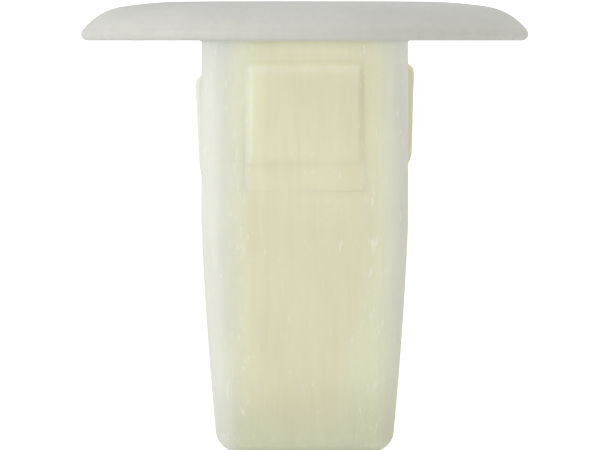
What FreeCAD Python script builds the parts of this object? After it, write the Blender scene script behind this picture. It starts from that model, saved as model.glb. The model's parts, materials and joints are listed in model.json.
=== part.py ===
import FreeCAD, Part
import math
import os

# Square-shank nylon screw anchor that snaps into a square hole in sheet metal.
# Millimetres. The origin is the centre of the flange's underside, the plane that rests on
# the panel. +Z runs up the screw's axis towards its head, and the shank hangs down -Z.
# Depths are counted downwards from the origin's plane, so a depth d lies at z = -d.

# Flange: a round disc with a flat top, a shallow crown and a rounded rim.
FLANGE_DIAMETER = 17.0
FLANGE_THICKNESS = 1.5
FLANGE_MARGIN = 4.1
CROWN_RADIUS = 17.0
EDGE_RADIUS = 2.4
NOSE_RADIUS = 0.26

# Shank: a square post with rounded corners, parallel at first and then tapering to its tip.
# Its topmost slice, the root, belongs to the flange, so the flange's underside is a ring.
SHANK_WIDTH = 7.8
SHANK_LENGTH = 15.5
CORNER_RADIUS = 0.8
ROOT_HEIGHT = 0.1
NECK_BOTTOM = 0.55
PARALLEL_LENGTH = 6.9
TAPER_INSET = 0.61
TAPER_BOW = 0.0625
TIP_FLOOR = 0.9
TIP_EDGE_RADIUS = 0.7

# Screw hole: countersunk entry, clearance channel, lead cone, straight pilot, closing taper.
ENTRY_DIAMETER = 5.2
COUNTERSINK_DIAMETER = 6.4
COUNTERSINK_DEPTH = 0.6
CHANNEL_CLEARANCE = 0.15
LEAD_CONE_HEIGHT = 0.75
PILOT_DIAMETER = 4.2
PILOT_LENGTH = 3.8
BORE_END_DIAMETER = 3.2

# Snap lugs: a raised pad on a tongue that is cut free of the wall on three sides.
LUG_WIDTH = 4.3
LUG_HEIGHT = 3.95
LUG_PROUD = 0.24
LUG_SHOULDER_HEIGHT = 0.35
LUG_CHAMFER_HEIGHT = 0.46
LUG_TOE = 0.03
LUG_CORNER_RADIUS = 0.35
SLIT = 0.12

# The upper pair of lugs grips a thin panel and the lower pair a thick one.
THIN_PANEL = 0.8
THICK_PANEL = 1.25
UPPER_FOOT_PROUD = 0.14
LOWER_FOOT_PROUD = 0.08

# Living hinge: the thin web of wall that each tongue bends on.
HINGE_MARGIN = 0.15
HINGE_HEIGHT = 0.3
HINGE_THICKNESS = 0.5

# How finely the taper's curve is followed, and how near two heights count as one.
TAPER_SECTIONS = 5
TOLERANCE = 1e-6

# Where the middle of a quarter circle lies, as a share of its radius along each axis.
DIAGONAL = math.sqrt(0.5)

flange_radius = FLANGE_DIAMETER / 2
shank_half = SHANK_WIDTH / 2
tip_half = shank_half - TAPER_INSET
entry_radius = ENTRY_DIAMETER / 2
pilot_radius = PILOT_DIAMETER / 2
channel_half = entry_radius + CHANNEL_CLEARANCE
lug_half = LUG_WIDTH / 2
window_half = lug_half + SLIT

tongue_top = NECK_BOTTOM + SLIT
tongue_bottom = THICK_PANEL + LUG_HEIGHT + HINGE_MARGIN
window_bottom = tongue_bottom + HINGE_HEIGHT
barrel_bottom = SHANK_LENGTH - TIP_FLOOR

# The four sides, counted anticlockwise from the front as seen from above: each one's turn
# about the axis, the depth where its lug starts and how proud the lug's foot stands.
SIDES = (
    ("front", 0, THIN_PANEL, UPPER_FOOT_PROUD),
    ("right", 90, THIN_PANEL, UPPER_FOOT_PROUD),
    ("back", 180, THICK_PANEL, LOWER_FOOT_PROUD),
    ("left", 270, THICK_PANEL, LOWER_FOOT_PROUD),
)
CORNERS = (
    ("front_right", 0),
    ("back_right", 90),
    ("back_left", 180),
    ("front_left", 270),
)


def vector(x, y, z):
    return FreeCAD.Vector(x, y, z)


def box(x_low, x_high, y_low, y_high, depth_top, depth_bottom):
    """A block between two values in X and Y and two depths below the flange."""
    corner = vector(x_low, y_low, -depth_bottom)
    return Part.makeBox(x_high - x_low, y_high - y_low, depth_bottom - depth_top, corner)


def turned(shape, degrees):
    """A copy of a shape, turned about the screw's axis."""
    copy = shape.copy()
    copy.rotate(vector(0, 0, 0), vector(0, 0, 1), degrees)
    return copy


def axial_cylinder(radius, depth_top, depth_bottom):
    height = depth_bottom - depth_top
    return Part.makeCylinder(radius, height, vector(0, 0, -depth_bottom))


def axial_cone(radius_top, radius_bottom, depth_top, depth_bottom):
    height = depth_bottom - depth_top
    return Part.makeCone(radius_bottom, radius_top, height, vector(0, 0, -depth_bottom))


def rounded_square(half, radius, depth):
    """A closed wire: a square of half-width half with rounded corners, level at a depth."""
    flat = half - radius
    bulge = flat + radius * DIAGONAL
    z = -depth
    edges = []
    for quarter in range(4):
        angle = math.radians(90 * quarter)
        cosine = math.cos(angle)
        sine = math.sin(angle)

        def place(x, y):
            return vector(x * cosine - y * sine, x * sine + y * cosine, z)

        edges.append(Part.LineSegment(place(half, -flat), place(half, flat)).toShape())
        corner = Part.Arc(place(half, flat), place(bulge, bulge), place(flat, half))
        edges.append(corner.toShape())
    return Part.Wire(edges)


def shank_half_at(depth):
    """Half the shank's width at a depth on the taper, whose sides bow slightly outwards."""
    share = (depth - PARALLEL_LENGTH) / (SHANK_LENGTH - PARALLEL_LENGTH)
    straight = shank_half + (tip_half - shank_half) * share
    return straight + 4 * TAPER_BOW * share * (1 - share)


def shank_outside():
    """The shank as a solid with no hole: a parallel prism over a lofted taper."""
    prism_face = Part.Face(rounded_square(shank_half, CORNER_RADIUS, PARALLEL_LENGTH))
    prism = prism_face.extrude(vector(0, 0, PARALLEL_LENGTH))
    sections = []
    for index in range(TAPER_SECTIONS):
        share = index / (TAPER_SECTIONS - 1)
        depth = PARALLEL_LENGTH + share * (SHANK_LENGTH - PARALLEL_LENGTH)
        sections.append(rounded_square(shank_half_at(depth), CORNER_RADIUS, depth))
    taper = Part.makeLoft(sections, True, False)
    return prism.fuse(taper)


def screw_hole():
    """The space the screw takes below the channel: lead cone, pilot and closing taper."""
    pilot_top = window_bottom + LEAD_CONE_HEIGHT
    pilot_bottom = pilot_top + PILOT_LENGTH
    lead = axial_cone(entry_radius, pilot_radius, window_bottom, pilot_top)
    pilot = axial_cylinder(pilot_radius, pilot_top, pilot_bottom)
    closing = axial_cone(pilot_radius, BORE_END_DIAMETER / 2, pilot_bottom, barrel_bottom)
    return lead.fuse([pilot, closing])


def level_slice(depth_top, depth_bottom):
    """A block as wide as the shank, between two depths."""
    return box(-shank_half, shank_half, -shank_half, shank_half, depth_top, depth_bottom)


def flange(outside):
    """The disc: top flat, crown arc, edge arc, nose arc and flat underside, revolved.

    Each arc touches the next without a corner. The edge arc's centre lies where a circle
    about the crown's centre meets one about the nose's centre.
    """
    flat_radius = flange_radius - FLANGE_MARGIN
    crown_x = flat_radius
    crown_z = FLANGE_THICKNESS - CROWN_RADIUS
    nose_x = flange_radius - NOSE_RADIUS
    nose_z = NOSE_RADIUS
    crown_reach = CROWN_RADIUS - EDGE_RADIUS
    nose_reach = EDGE_RADIUS - NOSE_RADIUS
    span = math.hypot(nose_x - crown_x, nose_z - crown_z)
    along = (crown_reach**2 - nose_reach**2 + span**2) / (2 * span)
    aside = math.sqrt(crown_reach**2 - along**2)
    unit_x = (nose_x - crown_x) / span
    unit_z = (nose_z - crown_z) / span
    edge_x = crown_x + along * unit_x - aside * unit_z
    edge_z = crown_z + along * unit_z + aside * unit_x

    crown_end = math.atan2(edge_z - crown_z, edge_x - crown_x)
    edge_end = math.atan2(nose_z - edge_z, nose_x - edge_x)

    def on_circle(x, z, radius, angle):
        return vector(x + radius * math.cos(angle), 0, z + radius * math.sin(angle))

    def arc(x, z, radius, start, end):
        points = [on_circle(x, z, radius, a) for a in (start, (start + end) / 2, end)]
        return Part.Arc(*points).toShape()

    def line(start, end):
        return Part.LineSegment(start, end).toShape()

    axis_top = vector(0, 0, FLANGE_THICKNESS)
    axis_bottom = vector(0, 0, 0)
    outline = Part.Wire(
        [
            line(axis_top, vector(flat_radius, 0, FLANGE_THICKNESS)),
            arc(crown_x, crown_z, CROWN_RADIUS, math.pi / 2, crown_end),
            arc(edge_x, edge_z, EDGE_RADIUS, crown_end, edge_end),
            arc(nose_x, nose_z, NOSE_RADIUS, edge_end, -math.pi / 2),
            line(vector(nose_x, 0, 0), axis_bottom),
            line(axis_bottom, axis_top),
        ]
    )
    disc = Part.Face(outline).revolve(axis_bottom, vector(0, 0, 1), 360)
    root = outside.common(level_slice(0, ROOT_HEIGHT))
    entry = axial_cylinder(entry_radius, -FLANGE_THICKNESS, ROOT_HEIGHT)
    countersink = axial_cone(
        COUNTERSINK_DIAMETER / 2,
        entry_radius,
        -FLANGE_THICKNESS,
        COUNTERSINK_DEPTH - FLANGE_THICKNESS,
    )
    return disc.fuse(root).cut([entry, countersink])


def neck(outside):
    """The closed square collar between the flange and the four windows."""
    collar = outside.common(level_slice(ROOT_HEIGHT, NECK_BOTTOM))
    return collar.cut(axial_cylinder(entry_radius, ROOT_HEIGHT, NECK_BOTTOM))


def corner_post(outside, degrees):
    """One of the four posts that join the neck to the barrel between the windows."""
    corner = box(
        window_half, shank_half, -shank_half, -window_half, NECK_BOTTOM, window_bottom
    )
    return outside.common(turned(corner, degrees))


def tongue(degrees):
    """The springy stretch of wall in a window, free at its top and its two sides."""
    wall = box(
        -lug_half, lug_half, -shank_half, -channel_half, tongue_top, tongue_bottom
    )
    return turned(wall, degrees)


def hinge_web(degrees):
    """The thin web at the wall's outer face that holds a tongue to the barrel."""
    inner = HINGE_THICKNESS - shank_half
    web = box(-lug_half, lug_half, -shank_half, inner, tongue_bottom, window_bottom)
    return turned(web, degrees)


def lug(degrees, top, foot_proud):
    """The raised pad on a tongue: round shoulder, sloping face and chamfered foot."""
    crest = top + LUG_SHOULDER_HEIGHT
    foot = top + LUG_HEIGHT
    chamfer = foot - LUG_CHAMFER_HEIGHT

    def point(proud, depth):
        return vector(-lug_half, -shank_half - proud, -depth)

    shoulder = Part.Arc(
        point(0, top),
        point(LUG_PROUD * DIAGONAL, crest - LUG_SHOULDER_HEIGHT * DIAGONAL),
        point(LUG_PROUD, crest),
    )
    corners = [
        point(LUG_PROUD, crest),
        point(foot_proud, chamfer),
        point(LUG_TOE, foot),
        point(0, foot),
        point(0, top),
    ]
    edges = [shoulder.toShape()]
    for start, end in zip(corners, corners[1:]):
        edges.append(Part.LineSegment(start, end).toShape())
    pad = Part.Face(Part.Wire(edges)).extrude(vector(LUG_WIDTH, 0, 0))

    face_on = box(-lug_half, lug_half, -shank_half - LUG_PROUD, -shank_half, top, foot)
    outward = [
        edge
        for edge in face_on.Edges
        if abs(edge.Vertexes[0].Z - edge.Vertexes[-1].Z) < TOLERANCE
        and abs(edge.Vertexes[0].X - edge.Vertexes[-1].X) < TOLERANCE
    ]
    rounded = face_on.makeFillet(LUG_CORNER_RADIUS, outward)
    return turned(pad.common(rounded), degrees)


def barrel(outside):
    """The lower shank that the screw's thread grips, open at its top and its bottom."""
    wall = outside.common(level_slice(window_bottom, barrel_bottom))
    return wall.cut(screw_hole())


def tip(outside):
    """The solid end that closes the hole, with a rounded edge all round."""
    end = outside.common(level_slice(barrel_bottom, SHANK_LENGTH))
    lowest = [
        edge
        for edge in end.Edges
        if all(abs(v.Z + SHANK_LENGTH) < TOLERANCE for v in edge.Vertexes)
    ]
    return end.makeFillet(TIP_EDGE_RADIUS, lowest)


def build():
    """Every node by name, as one solid each."""
    outside = shank_outside()
    nodes = {
        "flange": flange(outside),
        "neck": neck(outside),
        "barrel": barrel(outside),
        "tip": tip(outside),
    }
    for name, degrees in CORNERS:
        nodes["corner_post_" + name] = corner_post(outside, degrees)
    for name, degrees, lug_top, foot_proud in SIDES:
        nodes["snap_tongue_" + name] = tongue(degrees)
        nodes["snap_lug_" + name] = lug(degrees, lug_top, foot_proud)
        nodes["living_hinge_" + name] = hinge_web(degrees)
    return nodes


def main():
    """Writes each node's solid to a STEP file of its own."""
    os.makedirs("parts", exist_ok=True)
    for node, shape in build().items():
        solid = shape.Solids[0]
        print(node, len(shape.Solids), round(solid.Volume, 3), solid.isValid())
        solid.exportStep("parts/" + node + ".step")


main()
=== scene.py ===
"""Looks of a natural nylon screw anchor: a domed round flange over a square snap-in shank."""

import json
import logging
import math
from dataclasses import dataclass, fields
from enum import Enum
from typing import Any, Callable, Optional, Sequence, Union

import bmesh
import bpy
from mathutils import Matrix, Vector


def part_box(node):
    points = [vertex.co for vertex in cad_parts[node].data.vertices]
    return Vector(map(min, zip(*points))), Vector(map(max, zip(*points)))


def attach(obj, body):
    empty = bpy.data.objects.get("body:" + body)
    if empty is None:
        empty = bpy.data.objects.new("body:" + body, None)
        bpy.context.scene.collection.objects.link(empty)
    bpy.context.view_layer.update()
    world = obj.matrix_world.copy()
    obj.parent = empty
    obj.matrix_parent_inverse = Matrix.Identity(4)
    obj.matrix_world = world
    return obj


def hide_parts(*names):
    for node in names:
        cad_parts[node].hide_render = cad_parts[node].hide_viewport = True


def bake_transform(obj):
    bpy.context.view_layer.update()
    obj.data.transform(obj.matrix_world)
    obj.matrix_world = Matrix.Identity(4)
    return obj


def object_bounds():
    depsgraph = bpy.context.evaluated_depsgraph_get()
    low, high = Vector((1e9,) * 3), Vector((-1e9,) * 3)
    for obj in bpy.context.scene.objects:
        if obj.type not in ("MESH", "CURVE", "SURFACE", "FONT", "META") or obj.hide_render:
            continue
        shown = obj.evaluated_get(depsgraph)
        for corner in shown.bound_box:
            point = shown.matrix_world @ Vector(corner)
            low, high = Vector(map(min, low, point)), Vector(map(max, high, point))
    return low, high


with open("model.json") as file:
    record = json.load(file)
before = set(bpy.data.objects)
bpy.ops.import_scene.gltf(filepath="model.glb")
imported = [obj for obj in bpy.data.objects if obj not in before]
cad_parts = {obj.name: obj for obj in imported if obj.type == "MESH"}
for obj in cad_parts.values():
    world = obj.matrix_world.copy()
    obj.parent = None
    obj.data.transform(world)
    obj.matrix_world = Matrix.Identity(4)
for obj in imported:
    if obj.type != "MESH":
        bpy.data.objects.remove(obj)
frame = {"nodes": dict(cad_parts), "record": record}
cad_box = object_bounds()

MM = 0.001
# Face attribute for a painted glow: emission that stands in for light through the nylon.
PAINTED_GLOW_MARK = "painted_glow"
# The gaps, in millimetres, between a snap arm and its window's sides and top.
SLIT_SIDE = 0.003
SLIT_TOP = 0.005
# Points nearer than this, in metres, are one point, and heights nearer than this are level.
WELD = 1e-7
HAIR = 1e-6
# How much of a normal lies along an axis when its face is square to that axis.
SQUARE_ON = 0.99
log = logging.getLogger("screw_anchor")

Triple = tuple[float, float, float]
Colour = Triple
Range = tuple[float, float]
Outline = list[tuple[float, float]]
Ring = list[Vector]


# ---------------------------------------------------------------- node trees


class Term:
    """One number flowing through a node tree. The usual operators add Math nodes to it."""

    def __init__(self, graph: "Graph", socket: bpy.types.NodeSocket) -> None:
        """Keeps the tree's builder and the socket that the number comes out of."""
        self.graph = graph
        self.socket = socket

    def __add__(self, other: "Value") -> "Term":
        """The sum."""
        return self.graph.math("ADD", self, other)

    __radd__ = __add__

    def __sub__(self, other: "Value") -> "Term":
        """The difference."""
        return self.graph.math("SUBTRACT", self, other)

    def __rsub__(self, other: "Value") -> "Term":
        """The difference, with this number taken away."""
        return self.graph.math("SUBTRACT", other, self)

    def __mul__(self, other: "Value") -> "Term":
        """The product."""
        return self.graph.math("MULTIPLY", self, other)

    __rmul__ = __mul__

    def __truediv__(self, other: "Value") -> "Term":
        """The quotient."""
        return self.graph.math("DIVIDE", self, other)

    def __abs__(self) -> "Term":
        """The size, without its sign."""
        return self.graph.math("ABSOLUTE", self)


Value = Union[Term, float]


class Graph:
    """A node tree under construction, with short calls for the nodes that formulas need."""

    def __init__(self, tree: bpy.types.NodeTree) -> None:
        """Starts from an empty tree."""
        tree.nodes.clear()
        self.tree = tree

    def add(self, kind: str, **settings: object) -> bpy.types.Node:
        """Adds a node.

        Args:
            kind: The node's type name.
            settings: Properties to set on it.

        Returns:
            The new node.
        """
        node = self.tree.nodes.new(kind)
        for name, value in settings.items():
            setattr(node, name, value)
        return node

    def feed(self, slot: bpy.types.NodeSocket, value: object) -> None:
        """Gives an input socket a number, a colour, a socket or a term.

        Args:
            slot: The input socket.
            value: What it is given. A socket or a term is linked to it.
        """
        if isinstance(value, Term):
            value = value.socket
        if isinstance(value, bpy.types.NodeSocket):
            self.tree.links.new(value, slot)
        else:
            slot.default_value = value

    def fill(self, node: bpy.types.Node, **values: object) -> bpy.types.Node:
        """Feeds a node's inputs by name, with an underscore for each space.

        Args:
            node: The node.
            values: A value for each input's name.

        Returns:
            The same node.
        """
        for name, value in values.items():
            self.feed(node.inputs[name.replace("_", " ")], value)
        return node

    def term(self, socket: bpy.types.NodeSocket) -> Term:
        """Wraps an output socket as a number."""
        return Term(self, socket)

    def math(self, operation: str, *terms: Value, clamp: bool = False) -> Term:
        """Adds a Math node.

        Args:
            operation: The node's operation.
            terms: Its inputs, in order.
            clamp: Whether the result stays from 0 to 1.

        Returns:
            The result.
        """
        node = self.add("ShaderNodeMath", operation=operation, use_clamp=clamp)
        for slot, value in zip(node.inputs, terms):
            self.feed(slot, value)
        return self.term(node.outputs[0])

    def share(self, value: Value, start: Value, end: Value) -> Term:
        """How far a value has gone from start to end, held from 0 to 1."""
        width = end - start
        return self.math("DIVIDE", value - start, width, clamp=True)

    def smooth(self, value: Value, start: Value, end: Value) -> Term:
        """share() with its ends eased."""
        t = self.share(value, start, end)
        return t * t * (3.0 - 2.0 * t)

    def round_over(self, share: Term) -> Term:
        """A quarter circle's height, from 0 to 1, over a share from 0 to 1."""
        rest = 1.0 - share
        return self.math("SQRT", self.math("MAXIMUM", 1.0 - rest * rest, 0.0))

    def larger(self, first: Value, second: Value) -> Term:
        """The larger of two numbers."""
        return self.math("MAXIMUM", first, second)

    def smaller(self, first: Value, second: Value) -> Term:
        """The smaller of two numbers."""
        return self.math("MINIMUM", first, second)

    def noise(self, vector: object, scale: float, detail: float, roughness: float = 0.55) -> Term:
        """Fractal noise, from 0 to 1, at a place.

        Args:
            vector: The place.
            scale: The noise's fineness.
            detail: How many finer layers it has.
            roughness: How strong those layers are.

        Returns:
            The noise.
        """
        node = self.add("ShaderNodeTexNoise")
        self.fill(node, Vector=vector, Scale=scale, Detail=detail, Roughness=roughness)
        return self.term(node.outputs["Fac"])

    def grain(self, vector: object, factors: Triple, detail: float) -> Term:
        """Fractal noise whose grain has its own fineness along X, Y and Z."""
        return self.noise(self.stretched(vector, factors), scale=1.0, detail=detail)

    def stretched(self, vector: object, factors: Triple) -> bpy.types.NodeSocket:
        """A vector with each part multiplied, to draw a pattern out along an axis.

        Args:
            vector: The vector.
            factors: The factor for each part.

        Returns:
            The product.
        """
        node = self.add("ShaderNodeVectorMath", operation="MULTIPLY")
        self.feed(node.inputs[0], vector)
        node.inputs[1].default_value = factors
        return node.outputs[0]

    def blend(self, factor: Value, first: object, second: object) -> bpy.types.NodeSocket:
        """A colour between two colours.

        Args:
            factor: 0 for the first colour, 1 for the second.
            first: The first colour.
            second: The second colour.

        Returns:
            The mixed colour's socket.
        """
        node = self.add("ShaderNodeMix", data_type="RGBA")
        self.feed(node.inputs["Factor"], factor)
        colour_inputs = [s for s in node.inputs if s.type == "RGBA"]
        self.feed(colour_inputs[0], first)
        self.feed(colour_inputs[1], second)
        return next(s for s in node.outputs if s.type == "RGBA")

    def parts(self, vector: bpy.types.NodeSocket) -> tuple[Term, Term, Term]:
        """A vector's X, Y and Z as numbers.

        Args:
            vector: The vector's socket.

        Returns:
            The three numbers.
        """
        node = self.add("ShaderNodeSeparateXYZ")
        self.feed(node.inputs[0], vector)
        x, y, z = node.outputs
        return self.term(x), self.term(y), self.term(z)


def new_group(
    name: str, kind: str, inputs: dict[str, tuple[str, object]], outputs: dict[str, str]
) -> tuple[Graph, dict[str, bpy.types.NodeSocket], bpy.types.Node]:
    """Starts a node group with named sockets.

    Args:
        name: The group's name.
        kind: "ShaderNodeTree" or "GeometryNodeTree".
        inputs: Socket type and default for each input's name.
        outputs: Socket type for each output's name.

    Returns:
        The group's builder, its inputs by name, and its output node.
    """
    tree = bpy.data.node_groups.new(name, kind)
    for label, (socket, default) in inputs.items():
        made = tree.interface.new_socket(label, in_out="INPUT", socket_type=socket)
        if default is not None:
            made.default_value = default
    for label, socket in outputs.items():
        tree.interface.new_socket(label, in_out="OUTPUT", socket_type=socket)
    graph = Graph(tree)
    source = graph.add("NodeGroupInput")
    sink = graph.add("NodeGroupOutput")
    return graph, {s.name: s for s in source.outputs if s.name}, sink


# ------------------------------------------------------------------ finishes


@dataclass(frozen=True)
class MouldedTone:
    """The colour of translucent nylon round a hollow, by place, as a shared shader group.

    The group's inputs are three colours, the hollow's size and place, and how strongly each
    zone shows. Some of them paint light and shade into the colour: a sheen on the key lamp's
    side, shade on the far side and shade along the flange's lower rim. Lengths are in
    millimetres, and a range is where a change starts and ends.

    Args:
        name: The group's name.
        lean_depths: Where the hollow's zone leans over to one side.
        taper_depths: Where the zone narrows.
        taper: How much narrower it gets.
        wander: How far its sides wander.
        wander_grain: The wander's fineness along X, Y and Z.
        fade_inside: How far inside its side the zone starts to fade.
        fade_outside: How far outside its side it has gone.
        fade_below: The length over which it fades at its lower end.
        streak_grain: The fineness of the streaks along the draw.
        cloud_grain: The fineness of the broad clouds.
        tip_depths: Where the solid tip darkens.
        thin_wall: Where the painted shade on the +X side, away from the key lamp, comes in, out
            from the axis.
        rim_depths: Where the painted shade on the flange's lower rim comes in, above its
            underside.
    """

    name: str = "moulded_tone"
    lean_depths: Range = (8.0, 13.5)
    taper_depths: Range = (7.0, 15.0)
    taper: float = 0.9
    wander: float = 0.9
    wander_grain: Triple = (0.9, 0.9, 0.22)
    fade_inside: float = 0.75
    fade_outside: float = 0.5
    fade_below: float = 1.6
    streak_grain: Triple = (3.4, 3.4, 0.16)
    cloud_grain: Triple = (0.5, 0.5, 0.35)
    tip_depths: Range = (11.8, 15.8)
    thin_wall: Range = (0.6, 3.4)
    rim_depths: Range = (-0.58, -0.3)

    def build(self) -> bpy.types.NodeTree:
        """Makes the group.

        Returns:
            The group, which puts out Colour.
        """
        number, colour = "NodeSocketFloat", "NodeSocketColor"
        graph, given, sink = new_group(
            self.name,
            "ShaderNodeTree",
            {
                "Body": (colour, (0.7, 0.7, 0.5, 1.0)),
                "Hollow": (colour, (0.7, 0.68, 0.46, 1.0)),
                "Solid": (colour, (0.74, 0.76, 0.62, 1.0)),
                "Hollow Half Width": (number, 2.45),
                "Hollow Depth": (number, 15.0),
                "Hollow Strength": (number, 1.0),
                "Solid Start": (number, 2.2),
                "Solid End": (number, 3.6),
                "Solid Strength": (number, 1.0),
                "Core Drift": (number, 0.09),
                "Core Lean": (number, 0.26),
                "Thin Wall Shade": (number, 0.06),
                "Rim Shade": (number, 0.0),
                "Tip Shade": (number, 0.16),
                "Mottle": (number, 0.1),
            },
            {"Colour": colour},
        )
        size = {label: graph.term(socket) for label, socket in given.items()}
        place = graph.add("ShaderNodeTexCoord").outputs["Object"]
        millimetres = graph.stretched(place, (1 / MM, 1 / MM, 1 / MM))
        x, y, z = graph.parts(millimetres)
        depth = 0.0 - z
        # Painted sheen: the whiter corner tone reaches further in on the -X side, towards the key
        # lamp, and less far on +X.
        lateral = graph.smaller(abs(x), abs(y)) - x * size["Core Drift"]
        # The hollow's zone draws in from the +X side lower down.
        lean = graph.smooth(depth, *self.lean_depths) * size["Core Lean"]

        wander = graph.grain(millimetres, self.wander_grain, detail=3.0) - 0.5
        narrowing = graph.smooth(depth, *self.taper_depths) * self.taper
        side = size["Hollow Half Width"] - narrowing + wander * self.wander
        fade = (side - self.fade_inside, side + self.fade_outside)
        across = 1.0 - graph.smooth(lateral + x * lean, *fade)
        length = size["Hollow Depth"]
        along = 1.0 - graph.smooth(depth, length - self.fade_below, length)
        hollow = across * along * size["Hollow Strength"]

        edges = graph.smooth(lateral, size["Solid Start"], size["Solid End"])
        toned = graph.blend(edges * size["Solid Strength"], given["Body"], given["Solid"])
        toned = graph.blend(hollow, toned, given["Hollow"])

        streaks = graph.grain(millimetres, self.streak_grain, detail=4.0)
        cloud = graph.grain(millimetres, self.cloud_grain, detail=2.0)
        mottle = (streaks + cloud - 1.0) * size["Mottle"]
        dimmed = graph.smooth(depth, *self.tip_depths) * size["Tip Shade"]
        # Painted shade: darker towards +X, the side away from the key lamp.
        dimmed = dimmed + graph.smooth(x, *self.thin_wall) * size["Thin Wall Shade"]
        # Painted shade: darker along the flange's lower rim.
        dimmed = dimmed + graph.smooth(depth, *self.rim_depths) * size["Rim Shade"]
        shade = graph.add("ShaderNodeHueSaturation")
        graph.fill(shade, Color=toned, Value=1.0 + mottle - dimmed)
        graph.feed(sink.inputs["Colour"], shade.outputs["Color"])
        return graph.tree


@dataclass(frozen=True)
class MouldedSkin:
    """The fine relief of a moulded face, as a shared shader group.

    Drag lines run along the draw direction, with scattered specks and a faint orange peel.
    Lengths are in millimetres, and a range is where a change starts and ends.

    Args:
        name: The group's name.
        line_grain: The drag lines' fineness along X, Y and Z.
        line_height: Their height.
        line_roughness: How much they change the shine.
        peel_scale: The orange peel's fineness.
        peel_height: Its height.
        peel_roughness: How much it changes the shine.
        draw_edge: The line along the hollow's side that gathers specks, out from the middle.
        draw_edge_fade: How far from that line the specks thin out.
        corner: Where the corners' specks start, out from the middle.
        fleck_grain: The large flecks' fineness.
        fine_grain: The small flecks' fineness.
        fine_share: The small flecks' part in the mix.
        speck_least: The mix above which a speck shows.
        speck_fade: The step in the mix over which it comes up.
        draw_edge_gain: How much the draw edge lowers that limit.
        corner_gain: How much the corners lower it.
        speck_height: A speck's height.
    """

    name: str = "moulded_skin"
    line_grain: Triple = (9.0, 9.0, 0.35)
    line_height: float = 0.012
    line_roughness: float = 0.25
    peel_scale: float = 2.6
    peel_height: float = 0.016
    peel_roughness: float = 0.12
    draw_edge: float = 2.45
    draw_edge_fade: Range = (0.15, 0.8)
    corner: Range = (3.1, 3.5)
    fleck_grain: Triple = (5.6, 5.6, 1.9)
    fine_grain: Triple = (13.0, 13.0, 5.0)
    fine_share: float = 0.28
    speck_least: float = 0.60
    speck_fade: float = 0.14
    draw_edge_gain: float = 0.065
    corner_gain: float = 0.05
    speck_height: float = 0.010

    def build(self) -> bpy.types.NodeTree:
        """Makes the group.

        Returns:
            The group, which puts out Height, in millimetres, Specks and Roughness.
        """
        number = "NodeSocketFloat"
        graph, given, sink = new_group(
            self.name,
            "ShaderNodeTree",
            {
                "Drag Lines": (number, 1.0),
                "Speck Amount": (number, 1.0),
                "Peel": (number, 1.0),
                "Base Roughness": (number, 0.4),
            },
            {"Height": number, "Specks": number, "Roughness": number},
        )
        place = graph.add("ShaderNodeTexCoord").outputs["Object"]
        millimetres = graph.stretched(place, (1 / MM, 1 / MM, 1 / MM))
        lines = graph.grain(millimetres, self.line_grain, detail=5.0) - 0.5
        peel = graph.noise(millimetres, self.peel_scale, detail=3.0) - 0.5

        x, y, _ = graph.parts(millimetres)
        lateral = graph.smaller(abs(x), abs(y))
        at_edge = 1.0 - graph.share(abs(lateral - self.draw_edge), *self.draw_edge_fade)
        at_corner = graph.share(lateral, *self.corner)
        flecks = graph.grain(millimetres, self.fleck_grain, detail=2.0)
        fine = graph.grain(millimetres, self.fine_grain, detail=2.0)
        flecks = flecks * (1.0 - self.fine_share) + fine * self.fine_share
        least = self.speck_least - at_edge * self.draw_edge_gain - at_corner * self.corner_gain
        spots = graph.smooth(flecks, least, least + self.speck_fade)
        specks = spots * graph.term(given["Speck Amount"])

        height = lines * self.line_height * graph.term(given["Drag Lines"])
        height = height + peel * self.peel_height * graph.term(given["Peel"])
        graph.feed(sink.inputs["Height"], height + specks * self.speck_height)
        graph.feed(sink.inputs["Specks"], specks)
        rough = graph.term(given["Base Roughness"])
        rough = rough + lines * self.line_roughness + peel * self.peel_roughness
        graph.feed(sink.inputs["Roughness"], graph.math("ADD", rough, 0.0, clamp=True))
        return graph.tree


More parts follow.
